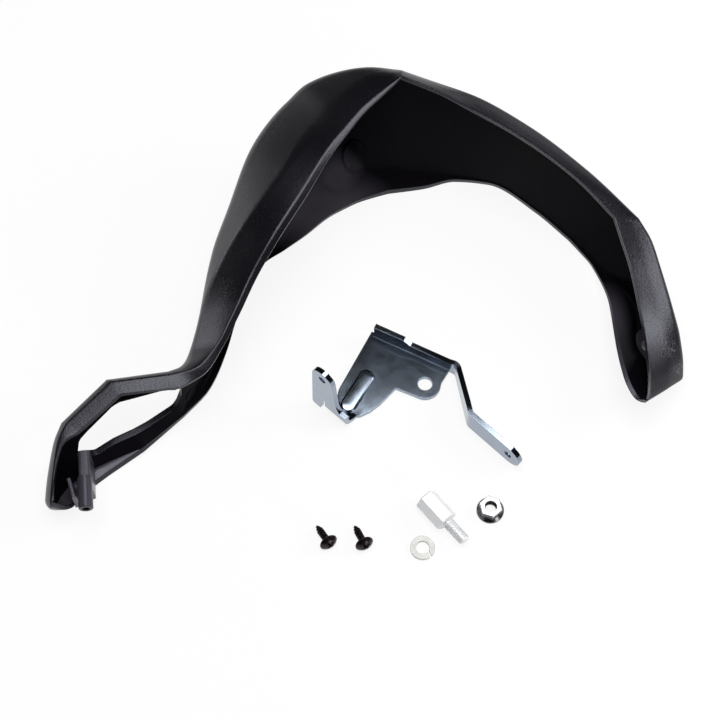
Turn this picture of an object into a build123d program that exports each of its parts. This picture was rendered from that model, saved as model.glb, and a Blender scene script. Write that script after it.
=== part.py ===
import math
import os

from build123d import *

os.makedirs("parts", exist_ok=True)

# Place of the laid-out kit on the table
SHIFT = Vector(-5.07, -11.32, 0)
DROP = 0.23

# Guard moulding: wall, its thinner upper and lower lip, run-out of the hollow past the mouth, tilt of the land along the upper lip,
# roundings of the section at lip, crease, outer edge and heel
WALL = 2.8
LIP_WALL = 1.6
LOW_WALL = 2.2
RUN_OUT = 2.0
LAND_TILT = 25.0
OUTER_ROUNDS = (0.8, 2.0, 5.0, 6.0)
INNER_ROUNDS = (0, 1.0, 3.0, 4.0)

TIP_ROUND = 4.5
CUP_ROUND = 4.0
WEB = 5.5
BOSS_DIAMETER = 7.0
PILOT_DIAMETER = 3.5
PILOT_DEPTH = 14.0
PAD_DIAMETER = 20.0
PAD_HOLE = 6.2

# Bracket: sheet, bend of the tab, holes, height of the flange strip and rounding of its end
SHEET = 2.5
BEND_INSIDE = 6.0
MAIN_HOLE = 7.2
TAB_HOLE = 4.2
STRIP_HEIGHT = 14.5
FLANGE_HEIGHT = 12.2
FLANGE_LOW = 9.6
TAB_ROUND = 6.5
RIB_WIDTH = 8.6
RIB_HEIGHT = 1.6
LOBE = 7.9

# Fasteners
SCREW_DIAMETER = 4.0
SCREW_LENGTH = 12.0
SCREW_POINT = 4.0
SCREW_HEAD = 9.0
SCREW_HEAD_HEIGHT = 2.7
HEX_FLATS = 10.0
STANDOFF_LENGTH = 16.0
STUD_DIAMETER = 6.0
STUD_LENGTH = 12.7
TAPPED_HOLE = 5.0
TAPPED_DEPTH = 11.0
WASHER_OUTER = 11.8
WASHER_INNER = 6.4
WASHER_THICKNESS = 1.6
WASHER_SPLIT = 1.0
NUT_HEIGHT = 6.0
NUT_FLANGE = 13.2
NUT_BORE = 6.0
NUT_RIM = 1.1

# Cross-sections of the guard from the bar end to the bar clamp, each one as
# upper lip, outer edge, lower lip, crease on the roof (share of the roof's width, lift),
# heel of the wall (share of the wall's height, sag) and width of the land along the lip
TIP = ((140, -35, 25), (161, -13, 9), (132, -35.5, 25), (0.5, 0.4), (0.3, 5.0), 1.0)
TIP_MID = ((140, -19, 28.5), (160.5, -7, 14), (127.5, -17.5, 24), (0.5, 0.4), (0.45, 12.0), 1.0)
PAD = ((139, -4, 31), (158.8, 3, 20), (125, 0, 21), (0.5, 0.4), (0.6, 20.0), 1.0)
BLADE = ((136, 12, 35), (154.5, 15, 28), (125, 24, 14), (0.5, 0.4), (0.75, 14.0), 1.0)
BLADE_ROOT = ((132, 31, 41), (147.8, 34.5, 36), (118.2, 49.8, 5), (0.5, 0.4), (0.95, 4.0), 1.0)
BLADE_TOP = ((128.5, 43, 44), (143.7, 45.8, 40.3), (112.8, 58.8, 3.5), (0.5, 0.4), (0.96, 3.5), 1.0)
ELBOW = ((125, 55, 47), (137, 56, 44), (107, 67.3, 2), (0.5, 0.4), (0.96, 3.0), 1.0)
ARM_LOW = ((107.5, 72, 54), (113, 79, 51), (91, 84, 1), (0.5, 0.4), (0.96, 3.0), 1.0)
ARM_HIGH = ((77.5, 93, 62), (82, 102, 58), (67, 101, 0.5), (0.5, 0.4), (0.96, 3.0), 1.0)
BAND = ((52.5, 105, 69), (57, 114, 65), (49, 102.8, 0.5), (0.5, 0.4), (0.96, 4.0), 1.2)
SHOULDER = ((39, 110, 75), (42, 118, 67), (33.5, 98.5, 0.5), (0.5, 0.5), (0.95, 8.0), 1.5)
CREST = ((20, 113, 84), (20, 121, 75), (14.5, 95.5, 0.5), (0.5, 1.0), (0.94, 11.0), 2.5)
HORN_0 = ((11, 106, 81.5), (1, 127, 70), (6.5, 93, 0.5), (0.45, 1.5), (0.93, 10.0), 5.0)
HORN_1 = ((1, 97.5, 79), (-16, 129, 62), (-1, 89.5, 0.5), (0.42, 2.5), (0.91, 9.0), 5.0)
HORN_2 = ((-14.5, 81.5, 73), (-39, 121.5, 52), (-15.5, 80, 0.5), (0.44, 4.0), (0.9, 8.0), 3.5)
HORN_3 = ((-30, 60.5, 67), (-56.5, 95, 47), (-28, 70, 0.5), (0.48, 5.0), (0.9, 8.0), 3.5)
HORN_4 = ((-43, 39, 61), (-66, 66, 42), (-38.5, 62, 1), (0.58, 4.5), (0.93, 7.0), 3.5)
HORN_5 = ((-53, 22, 54), (-74, 39.5, 37), (-50, 52, 3), (0.7, 4.0), (0.93, 6.0), 3.5)
HORN_6 = ((-62, 2, 48), (-78.5, 10, 33), (-61, 24, 5), (0.78, 3.0), (0.93, 5.0), 3.5)
NECK = ((-69, -13, 44), (-83.5, -10, 31), (-66.5, 1, 6), (0.75, 2.0), (0.93, 6.0), 4.0)
FORK = ((-78.5, -24, 42), (-86, -19, 34), (-74, -19, 6), (0.6, 1.0), (0.93, 6.0), 5.5)
STRAND = ((-89, -26.5, 41), (-91.5, -21.5, 34), (-86, -33, 5), (0.5, 0.5), (0.93, 6.0), 7.5)
CORNER = ((-118, -29.5, 39), (-121, -25, 32), (-105, -50.5, 3), (0.5, 0.5), (0.9, 5.0), 7.5)
BEND = ((-139, -48.5, 33), (-143, -44.5, 26), (-122, -62.5, 1), (0.5, 0.5), (0.85, 5.0), 6.0)
CUP_TOP = ((-142.5, -57, 31), (-146.7, -54, 24), (-129.5, -69, 1), (0.5, 0.5), (0.8, 6.0), 3.5)
CUP = ((-144.5, -75, 27), (-149.3, -73, 20), (-134.5, -75.5, 4), (0.5, 0.5), (0.7, 9.0), 3.5)
CUP_END = ((-145.5, -85.5, 22), (-149.5, -83.5, 15), (-137, -84, 14), (0.5, 0.5), (0.45, 10.0), 3.5)


def at(x, y, z):
    """Point of the guard on the table."""
    return Vector(x, y, z - DROP) + SHIFT


def blend(first, second, share):
    """Section that lies on the straight run between two others."""
    mixed = []
    for a, b in zip(first[:5], second[:5]):
        mixed.append(tuple(p + (q - p) * share for p, q in zip(a, b)))
    return (*mixed, first[5] + (second[5] - first[5]) * share)


BLADE_ROWS = (TIP, TIP_MID, PAD, BLADE, BLADE_ROOT, BLADE_TOP, ELBOW)
ARM_ROWS = (
    ELBOW, blend(ELBOW, ARM_LOW, 0.2), ARM_LOW, ARM_HIGH, BAND, SHOULDER, blend(SHOULDER, CREST, 0.75), CREST,
)
HORN_ROWS = (CREST, HORN_0, HORN_1, HORN_2, HORN_3, HORN_4, HORN_5, HORN_6, NECK, FORK, STRAND)
LOOP_ROWS = (
    STRAND, blend(STRAND, CORNER, 0.95), blend(CORNER, BEND, 0.06), blend(CORNER, BEND, 0.94),
    CUP_TOP, CUP, CUP_END,
)


def section_plane(row):
    """Plane of a section: x runs down the mouth from lip to lip, y points into the depth."""
    lip, edge, low = at(*row[0]), at(*row[1]), at(*row[2])
    chord = (low - lip).normalized()
    reach = edge - lip
    depth = (reach - chord * reach.dot(chord)).normalized()
    return Plane(origin=lip, x_dir=chord, z_dir=chord.cross(depth))


def outside(start, end):
    """Unit vector that points out of the section from the run between two corners."""
    run = (end - start).normalized()
    return Vector(-run.Y, run.X)


def outer_corners(row):
    """Rim, lip, crease, outer edge, heel and lower lip of a section in its own plane."""
    plane = section_plane(row)
    lip = Vector(0, 0)
    tilt = math.radians(LAND_TILT)
    rim = Vector(row[5] * math.sin(tilt), -row[5] * math.cos(tilt))
    edge = plane.to_local_coords(at(*row[1]))
    edge = Vector(edge.X, edge.Y)
    low = Vector((Vector(*row[2]) - Vector(*row[0])).length, 0)
    crease = lip + (edge - lip) * row[3][0] + outside(lip, edge) * row[3][1]
    heel = edge + (low - edge) * row[4][0] + outside(edge, low) * row[4][1]
    return [rim, lip, crease, edge, heel, low]


def crossing(first, second):
    """Point where two straight runs cross, or the end of the first when they are in line."""
    a, b = first
    c, d = second
    r, s = b - a, d - c
    turn = r.X * s.Y - r.Y * s.X
    if abs(turn) < 0.02 * r.length * s.length:
        return b
    return a + r * (((c.X - a.X) * s.Y - (c.Y - a.Y) * s.X) / turn)


def inner_corners(row):
    """Corners of the hollow: each run moved in by the wall, both ends run out of the mouth."""
    corners = outer_corners(row)
    walls = (LIP_WALL, LIP_WALL, WALL, WALL, WALL, LOW_WALL)
    runs = []
    for start, end, first, last in zip(corners, corners[1:], walls, walls[1:]):
        inward = outside(start, end) * -1
        runs.append((start + inward * first, end + inward * last))
    front = -RUN_OUT - row[5]
    mouth = (Vector(0, front), Vector(1, front))
    points = [crossing(runs[0], mouth)]
    points += [crossing(first, second) for first, second in zip(runs, runs[1:])]
    points.append(crossing(runs[-1], mouth))
    return points


def outline(points, rounds):
    """Closed outline of a section with its inner corners rounded."""
    start = points[0]
    for before, corner, after, size in zip(points, points[1:], points[2:], rounds):
        if size == 0:
            Line(start, corner)
            start = corner
            continue
        reach = min(size, 0.45 * (before - corner).length, 0.45 * (after - corner).length)
        entry = corner + (before - corner).normalized() * reach
        leave = corner + (after - corner).normalized() * reach
        Line(start, entry)
        Bezier(entry, corner, leave)
        start = leave
    Line(start, points[-1])
    Line(points[-1], points[0])


def channel(rows, hollow_rows, ruled=False):
    """Length of the moulding through some sections, less a hollow that runs on past its open ends."""
    with BuildPart() as hollow:
        for row in hollow_rows:
            step = {TIP: -WALL, CUP_END: WALL}.get(row, 0)
            with BuildSketch(section_plane(row).offset(step)):
                with BuildLine():
                    outline(inner_corners(row), INNER_ROUNDS)
                make_face()
        loft(ruled=ruled)
    with BuildPart() as length:
        for row in rows:
            with BuildSketch(section_plane(row)):
                with BuildLine():
                    outline(outer_corners(row), OUTER_ROUNDS)
                make_face()
        loft(ruled=ruled)
        add(hollow.part, mode=Mode.SUBTRACT)
    return length.part


# Guard moulding: its four lengths, rounded ends, window of the loop, screw boss, ribs and pads
WINDOW_PLANE = Plane(origin=at(0, 0, 0), x_dir=(0.954, 0.3, 0), z_dir=(0.3, -0.954, 0))
BOSS_PLANE = Plane(origin=at(-128.4, -87.2, 22), x_dir=(0.995, 0.097, 0), z_dir=(0.097, -0.995, 0))
STAY_PLANE = Plane(origin=at(-135.3, -79.6, 18), x_dir=(0.951, 0.311, 0), z_dir=(0.311, -0.951, 0))
PAD_PLANE = Plane(origin=at(143.8, 3, 10), x_dir=(0, 1, 0), z_dir=(-0.7, 0, 0.714))
GATE_PLANE = Plane(origin=at(-2.1, 107.7, 21.1), x_dir=(1, 0, 0), z_dir=(-0.07, -0.94, 0.34))
SPOT_PLANE = Plane(origin=at(-83.5, -24.8, 11.7), x_dir=(0, 0, 1), z_dir=(0.65, -0.7, 0.28))

with BuildPart() as guard:
    # Blade to the fold at the elbow, arm to the fold at the crest, horn, and the angular loop
    add(channel(BLADE_ROWS, (*BLADE_ROWS, ARM_LOW)))
    add(channel(ARM_ROWS, (BLADE_TOP, *ARM_ROWS[:6], CREST, HORN_0)))
    add(channel(HORN_ROWS, (SHOULDER, *HORN_ROWS, LOOP_ROWS[1])))
    add(channel(LOOP_ROWS, (FORK, *LOOP_ROWS), ruled=True))
    # Rounded bar end and rounded clamp end
    with BuildSketch(Plane(origin=at(0, 0, -5))):
        with BuildLine():
            FilletPolyline(
                (115, -12), (129.2, -25.7), (137, -37.4), (157.5, -17.7), (161, -6), (175, -6), (175, -65),
                (105, -65),
                radius=TIP_ROUND, close=True,
            )
        make_face()
    extrude(amount=60, mode=Mode.SUBTRACT)
    with BuildSketch(Plane(origin=at(0, 0, -5))):
        with BuildLine():
            FilletPolyline(
                (-149.6, -72), (-147.8, -86.2), (-128, -79.4), (-128, -100), (-165, -100), (-165, -72),
                radius=CUP_ROUND, close=True,
            )
        make_face()
    extrude(amount=60, mode=Mode.SUBTRACT)
    # Window through the wall of the loop
    with BuildSketch(WINDOW_PLANE.offset(-22)):
        with BuildLine():
            FilletPolyline(
                (-90.5, 19), (-96, 13.5), (-109.4, 12), (-128, 11.6), (-138, 10.2), (-146.8, 14),
                (-143.5, 20.5), (-138.5, 22.5), (-124, 27), (-98, 28), (-90, 25),
                radius=1.6, close=True,
            )
        make_face()
    extrude(amount=38, mode=Mode.SUBTRACT)
    # Screw boss on its web, and a thin stay beside it
    with BuildSketch(BOSS_PLANE.offset(-12)):
        Rectangle(WEB, 19, align=(Align.CENTER, Align.MAX))
        Circle(WEB / 2)
    extrude(amount=-17)
    with BuildSketch(BOSS_PLANE):
        Circle(BOSS_DIAMETER / 2)
    extrude(amount=-16)
    with BuildSketch(BOSS_PLANE):
        Circle(PILOT_DIAMETER / 2)
    extrude(amount=-PILOT_DEPTH, mode=Mode.SUBTRACT)
    with BuildSketch(STAY_PLANE):
        Rectangle(2, 14, align=(Align.CENTER, Align.MAX))
    extrude(amount=-10)
    # Pad with the bar-end hole
    with BuildSketch(PAD_PLANE.offset(-1.5)):
        Circle(PAD_DIAMETER / 2)
    extrude(amount=3)
    with BuildSketch(PAD_PLANE.offset(-8)):
        Circle(PAD_HOLE / 2)
    extrude(amount=14, mode=Mode.SUBTRACT)
    # Gate marks on the inner wall
    with BuildSketch(GATE_PLANE.offset(-1)):
        Circle(6)
    extrude(amount=1.5)
    with BuildSketch(GATE_PLANE):
        Circle(1.5)
    extrude(amount=1.6)
    with BuildSketch(SPOT_PLANE.offset(-1)):
        Circle(4)
    extrude(amount=1.5)

guard.part.label = "guard"
print("guard", guard.part.volume, guard.part.is_valid, len(guard.part.solids()), guard.part.bounding_box())
export_step(guard.part, "parts/guard.step")


# Bracket of folded sheet: flat plate, tab bent up at one side, flange and strip along the other
BENCH = Plane(origin=SHIFT)
TAB_ALONG = Vector(-0.735, 0.678, 0)
TAB_OUT = Vector(-0.678, -0.735, 0)
TAB_FOOT = SHIFT + Vector(-11, -34.1, 0)
TAB_PLANE = Plane(origin=TAB_FOOT, x_dir=TAB_ALONG, z_dir=TAB_ALONG.cross(Vector(0, 0, 1)))
BEND_PLANE = Plane(origin=TAB_FOOT + TAB_ALONG * 8.5, x_dir=TAB_OUT * -1, z_dir=TAB_ALONG * -1)
STRIP_ALONG = Vector(0.719, -0.695, 0)
STRIP_PLANE = Plane(
    origin=SHIFT + Vector(53.7, -35, 0), x_dir=STRIP_ALONG, z_dir=STRIP_ALONG.cross(Vector(0, 0, 1))
)
FLANGE_ALONG = Vector(0.895, -0.446, 0)
FLANGE_PLANE = Plane(
    origin=SHIFT + Vector(7, 12, 0), x_dir=FLANGE_ALONG, z_dir=FLANGE_ALONG.cross(Vector(0, 0, 1))
)

with BuildPart() as bracket:
    # Plate with the lobe round the main hole
    with BuildSketch(BENCH):
        with BuildLine():
            Polyline(
                (4.8, 12.4), (5.9, 14.6), (45.4, -5.1), (40, -14.1), (32.2, -14.1), (28.6, -21.1),
                (17.7, -16.4), (10, -24.8), (5, -28.9), (0.4, -31.2), (-1.2, -31.6), (-11.5, -22.1),
                (-10.5, -17.1), (4.8, 12.4),
            )
        make_face()
        with Locations((32.2, -14.1)):
            Circle(LOBE)
    extrude(amount=SHEET)
    # Tab with its bend
    with BuildSketch(BEND_PLANE):
        with BuildLine():
            FilletPolyline(
                (14, SHEET / 2), (SHEET / 2, SHEET / 2), (SHEET / 2, 12),
                radius=BEND_INSIDE + SHEET / 2,
            )
        trace(line_width=SHEET)
    extrude(amount=13.5)
    with BuildSketch(TAB_PLANE):
        with BuildLine():
            Polyline(
                (8.5, 12), (8.5, 8), (-5, 8), (-2, 10.5), (1, 16.5), (2.2, 27), (3.1, 36.5), (16.1, 36.5),
                (16.9, 2), (16, 1), (11.5, 1), (11.5, 12), (8.5, 12),
            )
        make_face()
        with Locations((9.6, 36.5)):
            Circle(TAB_ROUND)
            Circle(TAB_HOLE / 2, mode=Mode.SUBTRACT)
        with Locations((10, 12)):
            Circle(1.5, mode=Mode.SUBTRACT)
    extrude(amount=SHEET)
    # Flange along the back, with its lowered length
    with BuildSketch(BENCH):
        with BuildLine():
            FilletPolyline(
                (7.5, 13.1), (48.3, -7.2), (53.7, -35), (60, -41.1),
                radius=4,
            )
        trace(line_width=SHEET)
    extrude(amount=STRIP_HEIGHT)
    with BuildSketch(FLANGE_PLANE.offset(-8)):
        with BuildLine():
            Polyline(
                (-6, 20), (-6, FLANGE_HEIGHT), (16.4, FLANGE_HEIGHT), (20, FLANGE_LOW), (41, FLANGE_LOW),
                (43.5, FLANGE_LOW + 0.8), (47, FLANGE_LOW + 0.8), (60, STRIP_HEIGHT), (60, 20), (-6, 20),
            )
        make_face()
    extrude(amount=32, mode=Mode.SUBTRACT)
    # Strip to the far fixing hole
    with BuildSketch(STRIP_PLANE.offset(-SHEET / 2)):
        with Locations((4, 0)):
            Rectangle(21.8, STRIP_HEIGHT, align=(Align.MIN, Align.MIN))
        with Locations((25.8, STRIP_HEIGHT / 2)):
            Circle(STRIP_HEIGHT / 2)
            Circle(TAB_HOLE / 2, mode=Mode.SUBTRACT)
    extrude(amount=SHEET)
    # Main hole and the pressed rib beside it
    with BuildSketch(BENCH):
        with Locations((32.2, -14.1)):
            Circle(MAIN_HOLE / 2)
    extrude(amount=SHEET, mode=Mode.SUBTRACT)
    with BuildSketch(BENCH.offset(SHEET)):
        with Locations(Location((-1.4, -18.2), -120)):
            SlotCenterToCenter(17, RIB_WIDTH)
    extrude(amount=RIB_HEIGHT)
    fillet(faces().filter_by_position(Axis.Z, SHEET + RIB_HEIGHT - 0.01, SHEET + RIB_HEIGHT + 0.01).edges(), 1.4)

bracket.part.label = "bracket"
print("bracket", bracket.part.volume, bracket.part.is_valid, len(bracket.part.solids()))
export_step(bracket.part, "parts/bracket.step")

# Two tapping screws, each leaning on its shank and the rim of its head
SCREW_LEAN = math.atan2((SCREW_HEAD - SCREW_DIAMETER) / 2, SCREW_LENGTH - SCREW_POINT)


def screw_plane(x, y, heading):
    """Plane at the point of a screw: z along the screw, x level."""
    lean = math.cos(SCREW_LEAN)
    run = Vector(lean * math.cos(heading), lean * math.sin(heading), math.sin(SCREW_LEAN))
    height = SCREW_DIAMETER / 2 * lean - SCREW_POINT * math.sin(SCREW_LEAN)
    level = Vector(-math.sin(heading), math.cos(heading), 0)
    return Plane(origin=SHIFT + Vector(x, y, height), x_dir=level, z_dir=run)


SCREW_PLANES = (
    screw_plane(-21.1, -87.5, math.radians(-58.7)),
    screw_plane(-2.9, -87.5, math.radians(-65.4)),
)

with BuildPart() as tapping_screws:
    for plane in SCREW_PLANES:
        side = Plane(origin=plane.origin, x_dir=plane.x_dir, z_dir=plane.y_dir * -1)
        with BuildSketch(side):
            with BuildLine():
                Polyline(
                    (0, SCREW_LENGTH + SCREW_HEAD_HEIGHT), (0, 0), (SCREW_DIAMETER / 2, SCREW_POINT),
                    (SCREW_DIAMETER / 2, SCREW_LENGTH), (SCREW_HEAD / 2, SCREW_LENGTH),
                    (SCREW_HEAD / 2, SCREW_LENGTH + 0.6),
                )
                ThreePointArc(
                    (SCREW_HEAD / 2, SCREW_LENGTH + 0.6), (2.9, SCREW_LENGTH + 1.95),
                    (0, SCREW_LENGTH + SCREW_HEAD_HEIGHT),
                )
            make_face()
        revolve(axis=Axis(plane.origin, plane.z_dir))
        with BuildSketch(plane.offset(SCREW_LENGTH + SCREW_HEAD_HEIGHT - 1.6)):
            Rectangle(4.6, 1.1)
            Rectangle(1.1, 4.6)
        extrude(amount=2, mode=Mode.SUBTRACT)

tapping_screws.part.label = "tapping_screws"
print("screws", tapping_screws.part.volume, tapping_screws.part.is_valid, len(tapping_screws.part.solids()))
print(tapping_screws.part.bounding_box())
export_step(tapping_screws.part, "parts/tapping_screws.step")

# Hexagon standoff with a stud at one end and a tapped hole at the other, lying on a flat
STANDOFF_ALONG = Vector(0.652, -0.758, 0)
STANDOFF_PLANE = Plane(
    origin=SHIFT + Vector(31.2, -75.4, HEX_FLATS / 2), x_dir=(0, 0, 1), z_dir=STANDOFF_ALONG
)

with BuildPart() as standoff:
    with BuildSketch(STANDOFF_PLANE):
        RegularPolygon(HEX_FLATS / 2, 6, major_radius=False, rotation=30)
    extrude(amount=STANDOFF_LENGTH)
    with BuildSketch(STANDOFF_PLANE.offset(STANDOFF_LENGTH)):
        Circle(STUD_DIAMETER / 2)
    extrude(amount=STUD_LENGTH)
    chamfer(faces().sort_by(Axis(STANDOFF_PLANE.origin, STANDOFF_ALONG))[-1].edges(), 0.6)
    with BuildSketch(STANDOFF_PLANE):
        Circle(TAPPED_HOLE / 2)
    extrude(amount=TAPPED_DEPTH, mode=Mode.SUBTRACT)

standoff.part.label = "standoff"
print("standoff", standoff.part.volume, standoff.part.is_valid, standoff.part.bounding_box())
export_step(standoff.part, "parts/standoff.step")

# Split washer, lying flat
with BuildPart() as washer:
    with BuildSketch(BENCH):
        with Locations((29.8, -99.1)):
            Circle(WASHER_OUTER / 2)
            Circle(WASHER_INNER / 2, mode=Mode.SUBTRACT)
        with Locations(Location((33.0, -102.3), -70)):
            Rectangle(7, WASHER_SPLIT, mode=Mode.SUBTRACT)
    extrude(amount=WASHER_THICKNESS)

washer.part.label = "washer"
print("washer", washer.part.volume, washer.part.is_valid, len(washer.part.solids()))
export_step(washer.part, "parts/washer.step")

# Flange nut, standing on its flange
NUT_PLANE = Plane(origin=SHIFT + Vector(62.6, -80, 0), x_dir=(0.95, -0.31, 0), z_dir=(0, 0, 1))

with BuildPart() as nut:
    with BuildSketch(NUT_PLANE):
        RegularPolygon(HEX_FLATS / 2, 6, major_radius=False)
    extrude(amount=NUT_HEIGHT)
    with BuildSketch(NUT_PLANE):
        Circle(NUT_FLANGE / 2)
    extrude(amount=NUT_RIM)
    with BuildSketch(NUT_PLANE.offset(NUT_RIM)):
        Circle(NUT_FLANGE / 2)
    extrude(amount=1.5, taper=45)
    chamfer(faces().sort_by(Axis.Z)[-1].edges(), 0.4)
    with BuildSketch(NUT_PLANE):
        Circle(NUT_BORE / 2)
    extrude(amount=NUT_HEIGHT, mode=Mode.SUBTRACT)

nut.part.label = "nut"
print("nut", nut.part.volume, nut.part.is_valid, nut.part.bounding_box())
export_step(nut.part, "parts/nut.step")
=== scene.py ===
"""A motorcycle hand guard kit laid out on a pale table: guard, bracket and loose fasteners.

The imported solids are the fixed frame. The guard is drawn again through its cross-sections, and the screws and
the standoff are drawn again with their threads. The bracket, the washer and the nut are shaded copies of
their solids.
"""

from __future__ import annotations

import logging
import math
from dataclasses import dataclass
from enum import Enum, IntEnum
from typing import Any, ClassVar

import bmesh
import bpy
from bmesh.types import BMesh, BMVert
from bpy.types import Material, Mesh, Node, NodeSocket, NodeTree, Object
from mathutils import Matrix, Vector

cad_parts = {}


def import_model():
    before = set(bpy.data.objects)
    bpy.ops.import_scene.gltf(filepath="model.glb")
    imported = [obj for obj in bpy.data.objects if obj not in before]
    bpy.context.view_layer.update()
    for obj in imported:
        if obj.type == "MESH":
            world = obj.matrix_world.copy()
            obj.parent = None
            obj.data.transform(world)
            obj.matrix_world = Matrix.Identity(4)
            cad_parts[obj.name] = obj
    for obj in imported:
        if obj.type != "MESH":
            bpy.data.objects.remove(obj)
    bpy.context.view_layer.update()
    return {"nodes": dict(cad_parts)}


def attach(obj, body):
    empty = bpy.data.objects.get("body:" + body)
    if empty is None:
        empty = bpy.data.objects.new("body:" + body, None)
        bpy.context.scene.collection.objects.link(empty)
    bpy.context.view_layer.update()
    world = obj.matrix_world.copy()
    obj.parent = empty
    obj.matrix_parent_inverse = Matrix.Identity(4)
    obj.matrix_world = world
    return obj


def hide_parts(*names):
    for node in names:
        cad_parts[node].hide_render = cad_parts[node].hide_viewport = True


LOG = logging.getLogger("hand_guard_kit")

MM = 0.001
BODY = "root"

# Place of the laid-out kit in the row frame, in millimetres
KIT_SHIFT = Vector((-5.07, -11.32, 0.0))
# How far the guard is let down from its sections to rest on the table, in millimetres
GUARD_DROP = 0.23

# Points of a copied solid this close are one point, and edges shorter than a sliver go, in millimetres
WELD = 1e-3
SLIVER = 1e-4
# Rays with which a material rounds an edge
EDGE_RAYS = 4
# Pieces of a turn of thread, and sides of its rib
THREAD_STEPS = 36
RIB_SIDES = 3
# Largest share of a straight run that the rounding of one of its corners takes
ROUND_SHARE = 0.46
# Pieces of a prism's rounded corner
CORNER_STEPS = 5
# Sine of the angle below which two runs are in line
IN_LINE = 0.02
# How far the cutter of a hole stands out of the face, in millimetres
CUT_PAST = 1.0

Span = tuple[float, float]
Point = tuple[float, float, float]
Patch = tuple[Point, Point]


class Combine(Enum):
    """What a boolean does with its second mesh."""

    CUT = "DIFFERENCE"
    JOIN = "UNION"


class Shading(Enum):
    """Angle past which an edge stays sharp."""

    MOULDED = math.radians(38.0)
    MACHINED = math.radians(28.0)


class Side(IntEnum):
    """Finish of a face of the guard, in the order of its materials."""

    GRAINED = 0
    DULL = 1
    # Glossier faces, whose lighter grey is painted sheen
    SATIN_PAINTED_SHEEN = 2


def srgb(code: str) -> tuple[float, float, float, float]:
    """Turn an sRGB hex colour into the linear colour that a shader socket takes.

    Args:
        code: Colour as "#rrggbb".

    Returns:
        Linear red, green, blue and an alpha of 1.
    """
    channels = [int(code[i:i + 2], 16) / 255 for i in (1, 3, 5)]
    linear = [c / 12.92 if c <= 0.04045 else ((c + 0.055) / 1.055) ** 2.4 for c in channels]
    return (linear[0], linear[1], linear[2], 1.0)


def layout(x: float, y: float, z: float = 0.0) -> Vector:
    """Turn a layout point in millimetres into a point of the row frame in metres."""
    return (Vector((x, y, z)) + KIT_SHIFT) * MM


def per_mm(size: float) -> float:
    """Scale of a texture whose features are the given number of millimetres wide."""
    return 1.0 / (size * MM)


def add_node(tree: NodeTree, kind: str, links: dict[Any, Any] | None = None, **settings: Any) -> Node:
    """Add a node with its settings and what feeds its inputs.

    Args:
        tree: Tree that gets the node.
        kind: Type name of the node.
        links: Input name or index to a socket that feeds it, or to a plain value.
        **settings: Attributes of the node itself.

    Returns:
        The new node.
    """
    node = tree.nodes.new(kind)
    for name, value in settings.items():
        setattr(node, name, value)
    for name, value in (links or {}).items():
        if isinstance(value, NodeSocket):
            tree.links.new(value, node.inputs[name])
        else:
            node.inputs[name].default_value = value
    return node


def new_material(name: str) -> tuple[Material, NodeTree]:
    """Make an empty node material.

    Args:
        name: Name of the material.

    Returns:
        The material and its node tree.
    """
    material = bpy.data.materials.new(name)
    material.use_nodes = True
    material.node_tree.nodes.clear()
    return material, material.node_tree


def end_material(tree: NodeTree, edge_round: float, relief: dict[str, Any], values: dict[str, Any]) -> None:
    """End a material with rounded edges, a fine relief and its shader.

    Args:
        tree: Tree of the material.
        edge_round: Rounding of the edges in mm.
        relief: Strength, distance and height of the bump.
        values: Inputs of the shader, apart from its normal.
    """
    rim = add_node(tree, "ShaderNodeBevel", {"Radius": edge_round * MM}, samples=EDGE_RAYS)
    bump = add_node(tree, "ShaderNodeBump", {**relief, "Normal": rim.outputs["Normal"]})
    shader = add_node(tree, "ShaderNodeBsdfPrincipled", {**values, "Normal": bump.outputs["Normal"]})
    add_node(tree, "ShaderNodeOutputMaterial", {"Surface": shader.outputs["BSDF"]})


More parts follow.
